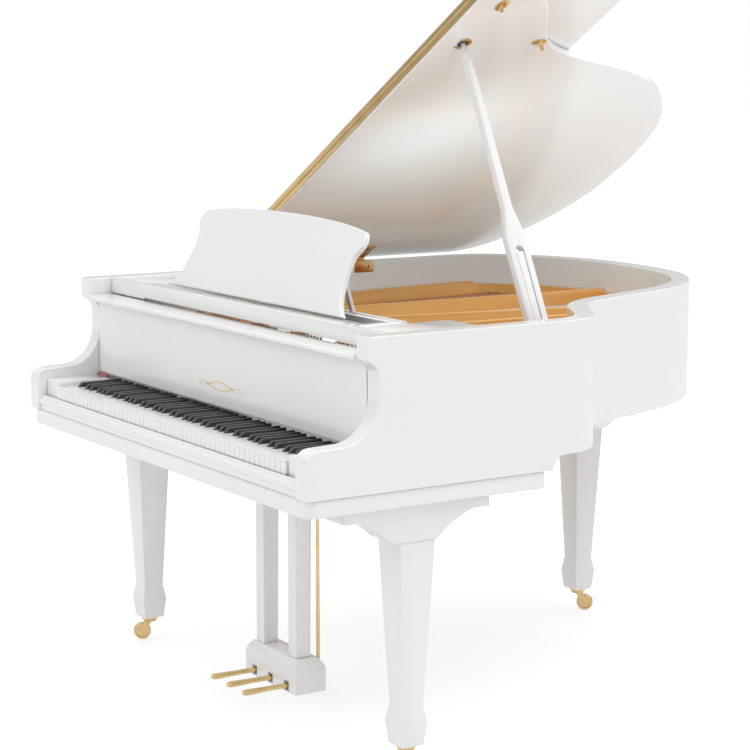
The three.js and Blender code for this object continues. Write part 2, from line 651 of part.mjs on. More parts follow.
// Caster horn: round plate, two cheeks raked back and the axle between them.
function casterForkShape() {
  const plate = new THREE.CylinderGeometry(23, 23, 6, 24).rotateX(Math.PI / 2);
  const neck = new THREE.CylinderGeometry(15, 19, 8, 20).rotateX(Math.PI / 2);
  const inside = WHEEL_WIDTH / 2 + 0.8;
  const top = LEG_FOOT_Z - 8;
  const cheek = polygon([[-9, top], [CASTER_TRAIL - 9, WHEEL_RADIUS - 4], [CASTER_TRAIL, WHEEL_RADIUS - 9],
    [CASTER_TRAIL + 9, WHEEL_RADIUS], [12, top]]);
  const cheeks = [-inside - 4, inside].map((x) => runAlongX(cheek, x, x + 4));
  const a = new THREE.Vector3(-inside - 2, CASTER_TRAIL, WHEEL_RADIUS);
  const b = new THREE.Vector3(inside + 2, CASTER_TRAIL, WHEEL_RADIUS);
  return join([plate.translate(0, 0, LEG_FOOT_Z - 3 - GAP), neck.translate(0, 0, LEG_FOOT_Z - 9),
    ...cheeks, bar(a, b, 4, 20)]);
}

// Wheel: a closed profile turned about its axle, with a crowned tread and a hub bore.
function wheelShape() {
  const w = WHEEL_WIDTH / 2;
  const sides = 28;
  const r = WHEEL_RADIUS / Math.cos(Math.PI / sides);
  const profile = [[4.12, -w], [12, -w], [14, -w + 2], [21, -w + 0.5], [r, -w + 3],
    [r, w - 3], [21, w - 0.5], [14, w - 2], [12, w], [4.12, w], [4.12, -w]];
  const shape = new THREE.LatheGeometry(profile.map(([a, b]) => new THREE.Vector2(a, b)), sides);
  return shape.rotateY(Math.PI / sides).rotateZ(Math.PI / 2);
}

// ---- pedal lyre ---------------------------------------------------------
function lyrePostsShape() {
  const posts = [-1, 1].map((side) => {
    const x = side * POST_X;
    const shape = polygon([[345, 125.4], [387, 125.4], [394, KEYBED_BOTTOM - 15], [345, KEYBED_BOTTOM - 15]]);
    return runAlongX(shape, x - 20, x + 20);
  });
  const wide = LYRE_BOX_WIDTH / 2 - 4;
  const head = box(-wide, wide, 338, 397, KEYBED_BOTTOM - 27, KEYBED_BOTTOM - GAP);
  return join([...posts, head]);
}

// Pedal box: coved upper edge, three channels for the pedals, three holes for the rods.
function lyreBoxShape() {
  const half = LYRE_BOX_WIDTH / 2;
  const cove = 16;
  const upper = polygon([[-half, 38], [half, 38], [half, 100], [half - 5, 112], [half - cove, 125],
    [-half + cove, 125], [-half + 5, 112], [-half, 100]]);
  const side = polygon([[327, 38], [416, 38], [416, 100], [411, 112], [400, 125],
    [343, 125], [332, 112], [327, 100]]);
  const body = toSolid(runAlongY(upper, 320, 424)).intersect(toSolid(runAlongX(side, -half, half)));
  const channels = [-1, 0, 1].map((i) => box(i * PEDAL_PITCH - 11.5, i * PEDAL_PITCH + 11.5, 310, 408,
    PEDAL_Z - 13, PEDAL_Z + 12));
  const holes = [-1, 0, 1].map((i) => bar(new THREE.Vector3(i * ROD_X, 405, 108),
    new THREE.Vector3(i * ROD_X, 405, 130), 5.6, 12));
  let solid = body;
  for (const tool of [...channels, ...holes]) solid = solid.subtract(toSolid(tool));
  return fromSolid(solid);
}

// Pedal: rounded nose, slim shank, flat heel that turns inside the box.
function pedalShape() {
  const shape = new THREE.Shape();
  shape.moveTo(-8, 400);
  shape.lineTo(-8, 262);
  shape.bezierCurveTo(-9, 240, -11, 232, -11, 222);
  shape.absarc(0, 211, 11, Math.PI, Math.PI * 2, false);
  shape.lineTo(11, 222);
  shape.bezierCurveTo(11, 232, 9, 240, 8, 262);
  shape.lineTo(8, 400);
  return raise(shape, PEDAL_Z - 7, PEDAL_Z + 7, 7);
}

function pedalRodShape() {
  return bar(new THREE.Vector3(0, 405, 112), new THREE.Vector3(0, 405, KEYBED_BOTTOM - 7), 4.5, 12);
}

// ---- assembly -----------------------------------------------------------
function caseParts() {
  return [
    piece('rim', rimShape(), lacquer),
    piece('inner_rim', innerRimShape(), maple),
    piece('rear_leg_block', legBlockShape(), lacquer),
    piece('soundboard', soundboardShape(), spruce),
    piece('iron_plate', plateShape(), gold),
    piece('pin_block', pinBlockShape(), maple),
    piece('keybed', keybedShape(), lacquer),
    piece('key_frame', keyFrameShape(), lacquer),
    piece('key_slip', keySlipShape(), lacquer),
    piece('front_board', frontBoardShape(), lacquer),
    piece('desk_rail_left', deskRailShape(-1), lacquer),
    piece('desk_rail_right', deskRailShape(1), lacquer),
  ];
}

function keyboardParts() {
  const names = ['bass', 'middle', 'treble'];
  const ends = [0, 17, 35, WHITE_COUNT];
  return names.flatMap((name, i) => [
    piece(`white_keys_${name}`, whiteGroupShape(ends[i], ends[i + 1]), ivory),
    piece(`black_keys_${name}`, blackGroupShape(ends[i], ends[i + 1]), ebony),
  ]);
}

function fallboardParts() {
  return [
    piece('fallboard', fallboardShape(), lacquer),
    piece('fallboard_felt', fallboardFeltShape(), felt),
  ];
}

function deskParts() {
  const desk = piece('music_desk', musicDeskShape(), lacquer);
  const lean = THREE.MathUtils.degToRad(DESK_LEAN);
  desk.position.set(0, 274.4, CASE_TOP - 1);
  desk.rotation.x = -lean;
  const up = new THREE.Vector2(Math.sin(lean), Math.cos(lean));
  const back = new THREE.Vector2(Math.cos(lean), -Math.sin(lean));
  const top = new THREE.Vector2(274.4, CASE_TOP - 1).addScaledVector(up, 112).addScaledVector(back, 21);
  const foot = new THREE.Vector2(367.2, CASE_TOP + 1.6);
  return [
    piece('music_desk_tray', deskTrayShape(), lacquer),
    desk,
    piece('music_desk_strut', deskStrutShape(top, foot), lacquer),
  ];
}

function lidParts() {
  const turned = new THREE.Group();
  turned.position.set(HINGE_X, 0, HINGE_Z);
  turned.rotation.y = THREE.MathUtils.degToRad(-LID_ANGLE);
  const inner = new THREE.Group();
  inner.position.set(-HINGE_X, 0, -HINGE_Z);
  turned.add(inner);
  inner.add(piece('lid_main', mainLidShape(), lacquer));
  inner.add(piece('long_hinge', longHingeShape(), brass));
  inner.add(piece('side_hinge_rear_lid', sideHingeLidShape(REAR_HINGE_Y), brass));
  inner.add(piece('side_hinge_front_lid', sideHingeLidShape(FRONT_HINGE_Y), brass));
  inner.add(piece('prop_cup', propCupShape(), brass));
  inner.add(piece('lid_catch', lidCatchShape(), brass));
  inner.add(piece('spare_prop_cup', spareCupShape(), brass));
  const folded = new THREE.Group();
  folded.position.set(0, FLAP_AXIS_Y * 2, FLAP_AXIS_Z * 2);
  folded.rotation.x = Math.PI;
  folded.add(piece('lid_flap', lidFlapShape(), lacquer));
  folded.add(piece('flap_leaf', flapLeafShape(), brass));
  inner.add(folded);
  return [
    turned,
    piece('side_hinge_rear_rim', sideHingeRimShape(REAR_HINGE_Y), brass),
    piece('side_hinge_front_rim', sideHingeRimShape(FRONT_HINGE_Y), brass),
  ];
}

function propParts() {
  const turned = new THREE.Group();
  turned.position.copy(PROP_BASE);
  turned.rotation.y = propTurn();
  turned.add(piece('lid_prop', lidPropShape(propReach().length() - 1.2), lacquer));
  turned.add(piece('short_prop', shortPropShape(), lacquer));
  return [turned, piece('prop_bracket', propBracketShape(), brass)];
}

function legParts() {
  const places = [['left', -FRONT_LEG_X, FRONT_LEG_Y, 0, 147.5], ['right', FRONT_LEG_X, FRONT_LEG_Y, 0, 160],
    ['rear', REAR_LEG_X, REAR_LEG_Y, 90, -32.5]];
  return places.map(([name, x, y, turn, swivel]) => {
    const leg = new THREE.Group();
    leg.position.set(x, y, 0);
    leg.add(piece(`leg_${name}`, legShape(), lacquer));
    const bracket = piece(`leg_bracket_${name}`, legBracketShape(), lacquer);
    bracket.rotation.z = THREE.MathUtils.degToRad(turn);
    leg.add(bracket);
    const caster = new THREE.Group();
    caster.rotation.z = THREE.MathUtils.degToRad(swivel);
    caster.add(piece(`caster_fork_${name}`, casterForkShape(), brass));
    const wheel = piece(`caster_wheel_${name}`, wheelShape(), brass);
    wheel.position.set(0, CASTER_TRAIL, WHEEL_RADIUS);
    caster.add(wheel);
    leg.add(caster);
    return leg;
  });
}

function lyreParts() {
  const parts = [
    piece('lyre_posts', lyrePostsShape(), lacquer),
    piece('lyre_box', lyreBoxShape(), lacquer),
  ];
  ['soft', 'middle', 'sustain'].forEach((name, i) => {
    const pedal = piece(`pedal_${name}`, pedalShape(), brass);
    pedal.position.x = (i - 1) * PEDAL_PITCH;
    const rod = piece(`pedal_rod_${name}`, pedalRodShape(), brass);
    rod.position.x = (i - 1) * ROD_X;
    parts.push(pedal, rod);
  });
  return parts;
}

function pianoParts() {
  const piano = new THREE.Group();
  piano.add(...caseParts(), ...keyboardParts(), ...fallboardParts(), ...deskParts());
  piano.add(...lidParts(), ...propParts(), ...legParts(), ...lyreParts());
  return piano;
}

// The origin is on the floor, under the middle of everything.
const piano = pianoParts();
piano.updateMatrixWorld(true);
const reach = new THREE.Box3().setFromObject(piano, true);
const middle = reach.getCenter(new THREE.Vector3());
const grandPiano = new THREE.Group();
piano.position.set(-middle.x, -middle.y, -reach.min.z);
grandPiano.add(piano);

export default grandPiano;
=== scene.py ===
import json
import math
import bmesh
import bpy
import numpy as np
from mathutils import Matrix, Vector

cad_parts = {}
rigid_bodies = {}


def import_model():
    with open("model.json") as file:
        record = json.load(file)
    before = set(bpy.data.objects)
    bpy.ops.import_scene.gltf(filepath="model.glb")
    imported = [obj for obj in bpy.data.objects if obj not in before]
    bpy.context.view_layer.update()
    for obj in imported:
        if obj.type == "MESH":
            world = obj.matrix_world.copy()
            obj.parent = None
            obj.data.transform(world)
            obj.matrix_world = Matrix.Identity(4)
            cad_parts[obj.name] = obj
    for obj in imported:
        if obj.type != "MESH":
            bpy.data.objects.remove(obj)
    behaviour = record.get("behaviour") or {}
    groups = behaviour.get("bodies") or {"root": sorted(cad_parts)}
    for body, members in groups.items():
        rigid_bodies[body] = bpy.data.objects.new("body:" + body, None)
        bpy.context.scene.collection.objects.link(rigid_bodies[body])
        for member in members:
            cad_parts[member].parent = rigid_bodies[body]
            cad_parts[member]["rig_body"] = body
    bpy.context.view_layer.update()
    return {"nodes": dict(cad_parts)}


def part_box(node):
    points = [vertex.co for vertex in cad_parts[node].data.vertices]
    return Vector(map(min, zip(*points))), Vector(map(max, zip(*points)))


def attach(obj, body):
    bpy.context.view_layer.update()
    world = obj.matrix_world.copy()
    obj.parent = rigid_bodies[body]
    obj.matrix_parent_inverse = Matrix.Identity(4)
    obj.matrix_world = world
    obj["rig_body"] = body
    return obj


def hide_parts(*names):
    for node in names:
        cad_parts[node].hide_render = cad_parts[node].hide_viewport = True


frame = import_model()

print("frame loaded:", len(frame["nodes"]), "solids")

# Case coordinates: X from the middle of the case, Y from its front, Z from the floor, in metres.
rimLow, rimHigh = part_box("rim")
caseMiddle = (rimLow.x + rimHigh.x) / 2
caseFront = rimLow.y
half = (rimHigh.x - rimLow.x) / 2
length = rimHigh.y - rimLow.y
caseTop = rimHigh.z
toRow = Matrix.Translation((caseMiddle, caseFront, 0.0))


# shader maths
class Wire:
    # one socket; + - * / ** between wires and numbers add Math nodes
    def __init__(self, tree, out=None):
        self.tree, self.out = tree, out

    def make(self, kind, settings=None, feeds=None, out=0):
        node = self.tree.nodes.new(kind)
        for name, value in (settings or {}).items():
            if name == "stops":
                ramp = node.color_ramp
                while len(ramp.elements) < len(value):
                    ramp.elements.new(0.5)
                for element, (place, colour) in zip(ramp.elements, value):
                    element.position, element.color = place, colour
            else:
                setattr(node, name, value)
        for name, value in (feeds or {}).items():
            if isinstance(value, Wire):
                self.tree.links.new(value.out, node.inputs[name])
            else:
                node.inputs[name].default_value = value
        return Wire(self.tree, node.outputs[out])

    def maths(self, operation, *values):
        return self.make("ShaderNodeMath", {"operation": operation}, dict(enumerate(values)))

    def __add__(self, other):
        return self.maths("ADD", self, other)

    def __sub__(self, other):
        return self.maths("SUBTRACT", self, other)

    def __mul__(self, other):
        return self.maths("MULTIPLY", self, other)

    def __truediv__(self, other):
        return self.maths("DIVIDE", self, other)

    def __pow__(self, other):
        return self.maths("POWER", self, other)

    def __rsub__(self, other):
        return self.maths("SUBTRACT", other, self)

    def __rtruediv__(self, other):
        return self.maths("DIVIDE", other, self)

    __radd__ = __add__
    __rmul__ = __mul__

    def noise(self, scale, stretch=(1, 1, 1), detail=3.0, rough=0.5):
        place = self.make("ShaderNodeTexCoord", out="Object")
        place = self.make("ShaderNodeMapping", None, {"Vector": place, "Scale": stretch})
        feeds = {"Vector": place, "Scale": scale, "Detail": detail, "Roughness": rough}
        return self.make("ShaderNodeTexNoise", None, feeds)

    def blend(self, amount, a, b):
        feeds = {0: amount, 6: a, 7: b}
        return self.make("ShaderNodeMix", {"data_type": "RGBA"}, feeds, 2)

    def bump(self, height, distance, strength=1.0):
        feeds = {"Height": height, "Distance": distance, "Strength": strength}
        return self.make("ShaderNodeBump", None, feeds)


def newFinish(name, recipe, values):
    look = bpy.data.materials.new(name)
    look.use_nodes = True
    tree = look.node_tree
    shader = next(n for n in tree.nodes if n.type == "BSDF_PRINCIPLED")
    for name, value in recipe(Wire(tree), values).items():
        if isinstance(value, Wire):
            tree.links.new(value.out, shader.inputs[name])
        else:
            shader.inputs[name].default_value = value
    return look


def rgb(r, g, b):
    return (r, g, b, 1.0)


# finishes
lacquerValues = {"bright": rgb(0.86, 0.86, 0.855), "dull": rgb(0.80, 0.80, 0.795), "roughness": 0.10,
                 "peel": 0.00002, "coat": 0.5}


def lacquer(wire, v):
    cloud = wire.noise(2.2, detail=2)
    haze = wire.noise(9.0, detail=4)
    peel = wire.noise(210.0, detail=1)
    return {"Base Color": wire.blend(cloud, v["dull"], v["bright"]),
            "Roughness": v["roughness"] + haze * 0.06,
            "Normal": wire.bump(peel, v["peel"]),
            "Coat Weight": v["coat"], "Coat Roughness": 0.03}


brassValues = {"light": rgb(0.92, 0.70, 0.40), "deep": rgb(0.62, 0.42, 0.17), "roughness": 0.11}


def brass(wire, v):
    tarnish = wire.noise(14.0, detail=3, rough=0.5)
    brushed = wire.noise(900.0, (1, 0.05, 1), detail=2)
    return {"Base Color": wire.blend(tarnish, v["deep"], v["light"]),
            "Metallic": 1.0, "Roughness": v["roughness"] + tarnish * 0.10,
            "Normal": wire.bump(brushed, 0.00001)}


plateValues = {"light": rgb(1.0, 0.60, 0.22), "deep": rgb(0.90, 0.47, 0.13), "roughness": 0.30}


def platePaint(wire, v):
    cloud = wire.noise(7.0, detail=4)
    flake = wire.noise(1400.0, detail=1)
    cast = wire.noise(120.0, detail=3)
    return {"Base Color": wire.blend(cloud * 0.7 + flake * 0.3, v["deep"], v["light"]),
            "Metallic": 0.3, "Roughness": v["roughness"] + flake * 0.15,
            "Normal": wire.bump(cast, 0.00025)}


woodValues = {"early": rgb(0.86, 0.74, 0.56), "late": rgb(0.72, 0.56, 0.36), "roughness": 0.34, "ring": 190.0}


def grain(wire, v):
    place = wire.make("ShaderNodeTexCoord", out="Object")
    place = wire.make("ShaderNodeMapping", None, {"Vector": place, "Scale": (1.0, 0.04, 1.0),
                                                  "Rotation": (0, 0, 0.5)})
    feeds = {"Vector": place, "Scale": v["ring"], "Distortion": 1.2, "Detail": 3.0}
    ring = wire.make("ShaderNodeTexWave", {"bands_direction": "X"}, feeds)
    pore = wire.noise(600.0, (1, 0.04, 1), detail=2)
    return {"Base Color": wire.blend(ring * 0.8 + pore * 0.2, v["early"], v["late"]),
            "Roughness": v["roughness"] + pore * 0.2, "Normal": wire.bump(ring, 0.00012)}


ivoryValues = {"light": rgb(0.88, 0.88, 0.87), "warm": rgb(0.83, 0.83, 0.81), "roughness": 0.14}


def ivory(wire, v):
    streak = wire.noise(60.0, (1, 0.12, 1), detail=4)
    return {"Base Color": wire.blend(streak, v["warm"], v["light"]), "Roughness": v["roughness"] + streak * 0.08,
            "Normal": wire.bump(streak, 0.00003), "Coat Weight": 0.3}


ebonyValues = {"light": rgb(0.050, 0.051, 0.054), "deep": rgb(0.026, 0.026, 0.028), "roughness": 0.26}


def ebony(wire, v):
    streak = wire.noise(240.0, (1, 0.05, 1), detail=4)
    return {"Base Color": wire.blend(streak, v["deep"], v["light"]), "Roughness": v["roughness"] + streak * 0.14,
            "Normal": wire.bump(streak, 0.00005), "Coat Weight": 0.25}


def felt(wire, v):
    fluff = wire.noise(900.0, detail=5, rough=0.7)
    patch = wire.noise(40.0, detail=2)
    return {"Base Color": wire.blend(patch, v["deep"], v["light"]), "Roughness": 0.95,
            "Sheen Weight": 0.4, "Normal": wire.bump(fluff, 0.0006)}


def steel(wire, v):
    streak = wire.noise(500.0, (1, 0.02, 1), detail=2)
    return {"Base Color": wire.blend(streak, v["deep"], v["light"]), "Metallic": 1.0,
            "Roughness": 0.22 + streak * 0.15, "Normal": wire.bump(streak, 0.00002)}


def wound(wire, v):
    place = wire.make("ShaderNodeTexCoord", out="Object")
    coil = wire.make("ShaderNodeTexWave", {"bands_direction": "Y"}, {"Vector": place, "Scale": 420.0})
    return {"Base Color": wire.blend(coil, v["deep"], v["light"]), "Metallic": 1.0,
            "Roughness": 0.3 + coil * 0.1, "Normal": wire.bump(coil, 0.0002)}


looks = {
    "lacquer": newFinish("whiteLacquer", lacquer, lacquerValues),
    "brass": newFinish("polishedBrass", brass, brassValues),
    "screw": newFinish("screwBrass", brass, {"light": rgb(0.55, 0.37, 0.16), "deep": rgb(0.30, 0.18, 0.07),
                                             "roughness": 0.3}),
    "plate": newFinish("plateBronze", platePaint, plateValues),
    "spruce": newFinish("spruce", grain, woodValues),
    "maple": newFinish("maple", grain, {"early": rgb(0.50, 0.31, 0.15), "late": rgb(0.36, 0.21, 0.09),
                                        "roughness": 0.4, "ring": 90.0}),
    "ivory": newFinish("whiteKey", ivory, ivoryValues),
    "ebony": newFinish("blackKey", ebony, ebonyValues),
    "paleFelt": newFinish("paleFelt", felt, {"light": rgb(0.60, 0.59, 0.58), "deep": rgb(0.46, 0.45, 0.44)}),
    "brightFelt": newFinish("brightFelt", felt, {"light": rgb(0.50, 0.06, 0.09), "deep": rgb(0.36, 0.03, 0.05)}),
    "roseFelt": newFinish("roseFelt", felt, {"light": rgb(0.46, 0.25, 0.22), "deep": rgb(0.30, 0.14, 0.12)}),
    "darkFelt": newFinish("darkFelt", felt, {"light": rgb(0.05, 0.045, 0.045), "deep": rgb(0.02, 0.018, 0.018)}),
    "steel": newFinish("stringSteel", steel, {"light": rgb(0.72, 0.72, 0.72), "deep": rgb(0.45, 0.45, 0.46)}),
    "copper": newFinish("copperWinding", wound, {"light": rgb(0.80, 0.42, 0.24), "deep": rgb(0.42, 0.17, 0.08)}),
}
print("finishes ready:", len(looks))


# making pieces
def settle(name, mesh, look, body, stands=(), bevel=0.0, segments=3, angle=30.0):
    mesh.materials.clear()
    mesh.materials.append(looks[look])
    mesh.polygons.foreach_set("use_smooth", np.ones(len(mesh.polygons), bool))
    obj = bpy.data.objects.new(name, mesh)
    bpy.context.scene.collection.objects.link(obj)
    if bevel:
        edge = obj.modifiers.new("edge", "BEVEL")
        edge.width, edge.segments, edge.limit_method = bevel, segments, "ANGLE"
        edge.angle_limit = math.radians(angle)
        edge.harden_normals = True
        edge.miter_outer = "MITER_ARC"
    else:
        mesh.set_sharp_from_angle(angle=math.radians(angle))
    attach(obj, body)
    if stands:
        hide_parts(*stands)
    return obj


def closedMesh(name, points, faces, turn=None):
    # a closed surface with its normals turned outward, moved from case coordinates to the row frame
    mesh = bpy.data.meshes.new(name)
    mesh.from_pydata(np.asarray(points, float).tolist(), [], [list(map(int, f)) for f in faces])
    work = bmesh.new()
    work.from_mesh(mesh)
    bmesh.ops.recalc_face_normals(work, faces=work.faces)
    work.to_mesh(mesh)
    work.free()
    mesh.transform(toRow @ turn if turn is not None else toRow)
    return mesh


def prismFaces(n):
    i = np.arange(n)
    j = (i + 1) % n
    return [i[::-1], i + n] + list(np.stack([i, j, j + n, i + n], 1))


def prismPoints(outline, low, high, axis):
    # an outline in the two other axes, swept straight along axis from low to high
    outline = np.asarray(outline, float)
    ends = []
    for level in (low, high):
        flat = np.full(len(outline), level)
        a, b = outline[:, 0], outline[:, 1]
        ends.append(np.stack({"x": (flat, a, b), "y": (a, flat, b), "z": (a, b, flat)}[axis], 1))
    return np.concatenate(ends)


def prism(name, outline, low, high, axis, turn=None):
    points = prismPoints(outline, low, high, axis)
    return closedMesh(name, points, prismFaces(len(outline)), turn)


def loft(name, rings, turn=None):
    # rings[k, i]: ring k around the piece; neighbours are joined and both ends closed
    rings = np.asarray(rings, float)
    m, n = rings.shape[:2]
    k, i = np.meshgrid(np.arange(m - 1), np.arange(n), indexing="ij")
    j = (i + 1) % n
    quads = np.stack([k * n + i, k * n + j, (k + 1) * n + j, (k + 1) * n + i], -1).reshape(-1, 4)
    faces = list(quads) + [np.arange(n)[::-1], np.arange(n) + (m - 1) * n]
    return closedMesh(name, rings.reshape(-1, 3), faces, turn)


def ringSweep(name, rings, turn=None):
    # as a loft, but the last ring joins the first, for a closed hoop
    rings = np.asarray(rings, float)
    m, n = rings.shape[:2]
    k, i = np.meshgrid(np.arange(m), np.arange(n), indexing="ij")
    j, l = (i + 1) % n, (k + 1) % m
    quads = np.stack([k * n + i, k * n + j, l * n + j, l * n + i], -1).reshape(-1, 4)
    return closedMesh(name, rings.reshape(-1, 3), quads, turn)


def rods(name, starts, ends, radius, sides=6, turn=None):
    # many straight round bars: each end ring is centre + radius * (cos * across + sin * up)
    starts, ends = np.asarray(starts, float), np.asarray(ends, float)
    along = ends - starts
    along /= np.linalg.norm(along, axis=1, keepdims=True)
    guide = np.where(np.abs(along[:, 2:]) > 0.9, [[1.0, 0.0, 0.0]], [[0.0, 0.0, 1.0]])
    across = np.cross(along, guide)
    across /= np.linalg.norm(across, axis=1, keepdims=True)
    up = np.cross(across, along)
    t = np.linspace(0, 2 * np.pi, sides, endpoint=False)
    radius = np.broadcast_to(np.asarray(radius, float), (len(starts),))
    ring = np.cos(t)[None, :, None] * across[:, None] + np.sin(t)[None, :, None] * up[:, None]
    ring = ring * radius[:, None, None]
    points = np.stack([starts[:, None] + ring, ends[:, None] + ring], 1).reshape(-1, 3)
    one = [list(f) for f in prismFaces(sides)]
    faces = [[v + b * 2 * sides for v in f] for b in range(len(starts)) for f in one]
    return closedMesh(name, points, faces, turn)


def joined(name, meshes):
    # several closed parts kept in one mesh
    work = bmesh.new()
    for mesh in meshes:
        work.from_mesh(mesh)
        bpy.data.meshes.remove(mesh)
    whole = bpy.data.meshes.new(name)
    work.to_mesh(whole)
    work.free()
    return whole


def carve(mesh, tools):
    # closed meshes cut out of a closed mesh
    body = bpy.data.objects.new("work", mesh)
    bpy.context.scene.collection.objects.link(body)
    helpers = []
    for tool in tools:
        helper = bpy.data.objects.new("tool", tool)
        bpy.context.scene.collection.objects.link(helper)
        step = body.modifiers.new("cut", "BOOLEAN")
        step.object, step.operation, step.solver = helper, "DIFFERENCE", "EXACT"
        helpers.append(helper)
    bpy.context.view_layer.update()
    shaped = bpy.data.meshes.new_from_object(body.evaluated_get(bpy.context.evaluated_depsgraph_get()))
    for obj in [body] + helpers:
        bpy.data.objects.remove(obj)
    work = bmesh.new()
    work.from_mesh(shaped)
    bmesh.ops.remove_doubles(work, verts=work.verts, dist=1e-6)
    bmesh.ops.dissolve_limit(work, angle_limit=math.radians(0.3), verts=work.verts, edges=work.edges)
    work.to_mesh(shaped)
    work.free()
    return shaped


def fromSolid(node, look, bevel, segments=3):
    # the solid's own shape with its triangles merged into whole faces and its edges softened
    mesh = frame["nodes"][node].data.copy()
    work = bmesh.new()
    work.from_mesh(mesh)
    bmesh.ops.remove_doubles(work, verts=work.verts, dist=1e-5)
    bmesh.ops.dissolve_limit(work, angle_limit=math.radians(1.0), verts=work.verts, edges=work.edges)
    work.to_mesh(mesh)
    work.free()
    body = frame["nodes"][node]["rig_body"]
    return settle(node + "_fine", mesh, look, body, (node,), bevel, segments)


# plan of the bent side
def cubic(points, steps):
    # Bezier curve: (1-t)^3 a + 3(1-t)^2 t b + 3(1-t) t^2 c + t^3 d
    t = np.linspace(0, 1, steps + 1)[:, None]
    a, b, c, d = np.asarray(points, float)
    return (1 - t) ** 3 * a + 3 * (1 - t) ** 2 * t * b + 3 * (1 - t) * t ** 2 * c + t ** 3 * d


def chain(start, curves, steps):
    line, here = [np.array([start], float)], start
    for curve in curves:
        line.append(cubic([here, *curve], steps)[1:] if len(curve) == 3 else np.array(curve, float))
        here = curve[-1]
    return np.concatenate(line)


def bentSide(start, steps=26):
    # X in shares of the half width, Y in shares of the way from the straight side's end to the tail
    straight = 0.7
    shares = [[(1, 0.112), (0.899, 0.147), (0.757, 0.208)], [(0.635, 0.264), (0.601, 0.346), (0.554, 0.457)],
              [(0.493, 0.61), (0.446, 0.762), (0.203, 0.894)], [(0.027, 0.99), (-0.203, 1), (-0.405, 1)],
              [(-0.622, 1), (-1, 0.884), (-1, 0.691)]]
    bends = [[(half * a, straight + (length - straight) * b) for a, b in bend] for bend in shares]
    return chain((half, start), [[(half, straight)], *bends, [(-half, start)]], steps)


def inward(line, distance):
    # parallel line: each corner moves along its mitre by distance / cos(half the turn)
    step = np.diff(line, axis=0)
    step /= np.linalg.norm(step, axis=1, keepdims=True)
    before = np.concatenate([step[:1], step])
    after = np.concatenate([step, step[-1:]])
    along = before + after
    along /= np.linalg.norm(along, axis=1, keepdims=True)
    normal = np.stack([-along[:, 1], along[:, 0]], 1)
    return line + normal * distance / (along * after).sum(1, keepdims=True)


def planRing(start, outside, inside):
    return np.concatenate([inward(bentSide(start), outside), inward(bentSide(start), inside)[::-1]])


def rectangle(x0, x1, y0, y1):
    return [(x0, y0), (x1, y0), (x1, y1), (x0, y1)]


def arc(cx, cy, r, start, end, steps=10):
    t = np.radians(np.linspace(start, end, steps))
    return np.stack([cx + r * np.cos(t), cy + r * np.sin(t)], 1)


# case
caseValues = {"wall": 0.05, "armBottom": rimLow.z, "rimBottom": 0.719, "armTop": 0.798, "edge": 0.004}


def buildRim():
    v = caseValues
    top, arm = caseTop, v["armTop"]
    ring = prism("ring", planRing(0.0, 0.0, v["wall"]), v["armBottom"], top, "z")
    relief = chain((-0.02, arm - 0.035), [
        [(0.0, arm - 0.035)],
        [(0.0, arm - 0.014), (0.013, arm - 0.002), (0.038, arm - 0.002)],
        [(0.1, arm)],
        [(0.15, arm + 0.004), (0.187, arm + 0.05), (0.187, arm + 0.102)],
        [(0.187, top - 0.092)],
        [(0.187, top - 0.07), (0.17, top - 0.058), (0.157, top - 0.054)],
        [(0.157, top + 0.04)], [(-0.02, top + 0.04)]], 14)
    step = v["rimBottom"] - v["armBottom"]
    under = np.concatenate([[(0.667, v["armBottom"] - 0.04)], arc(0.667 + step, v["armBottom"], step, 180, 90, 12),
                            [(length + 0.04, v["rimBottom"]), (length + 0.04, v["armBottom"] - 0.04)]])
    tools = [prism("tool", outline, -half - 0.02, half + 0.02, "x") for outline in (relief, under)]
    settle("case_rim", carve(ring, tools), "lacquer", "case", ("rim",), v["edge"], 4)


def buildCaseBoards():
    fromSolid("keybed", "lacquer", 0.004)
    fromSolid("front_board", "lacquer", 0.002)
    fromSolid("rear_leg_block", "lacquer", 0.004)
    fromSolid("desk_rail_left", "lacquer", 0.0025)
    fromSolid("desk_rail_right", "lacquer", 0.0025)
    fromSolid("key_frame", "lacquer", 0.003)
    fromSolid("inner_rim", "maple", 0.003)
    fromSolid("pin_block", "maple", 0.002)
    board = inward(bentSide(0.65), caseValues["wall"] + 0.001)
    low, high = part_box("soundboard")
    settle("soundboard_panel", prism("panel", board, low.z, high.z, "z"), "spruce", "case", ("soundboard",), 0.001)


slipValues = {"face": 0.007, "band": 0.0055, "top": 0.7236}


def buildKeySlip():
    low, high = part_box("key_slip")
    v = slipValues
    back = high.y - caseFront
    profile = chain((back, low.z), [
        [(v["face"], low.z)], [(v["face"], 0.6995)], [(v["face"] - 0.0012, 0.7003)],
        [(v["face"] - v["band"], 0.7035), (v["face"] - v["band"], 0.7125), (v["face"], 0.7158)],
        [(0.0095, 0.7168)],
        [(0.0145, 0.717), (0.0145, 0.7232), (0.0185, v["top"])],
        [(back, v["top"])]], 10)
    settle("key_slip_moulding", prism("slip", profile, -half + 0.0505, half - 0.0505, "x"), "lacquer", "case",
           ("key_slip",), 0.0008, 2)


# iron plate, strings, pins
def buildPlate():
    fromSolid("iron_plate", "plate", 0.004, 3)


# bays: X and slant in degrees of each line between two groups of strings
stringValues = {"height": 0.9225, "steel": 0.0007, "copper": 0.0019, "bassCount": 30,
                "perBay": (16, 24, 30, 30, 26, 26), "pinTop": 0.935, "pinRadius": 0.0032, "pinPitch": 0.016,
                "bays": ((-0.66, 0), (-0.56, 8), (-0.33, -2), (-0.11, -10), (0.11, -4), (0.33, 12), (0.66, 4))}


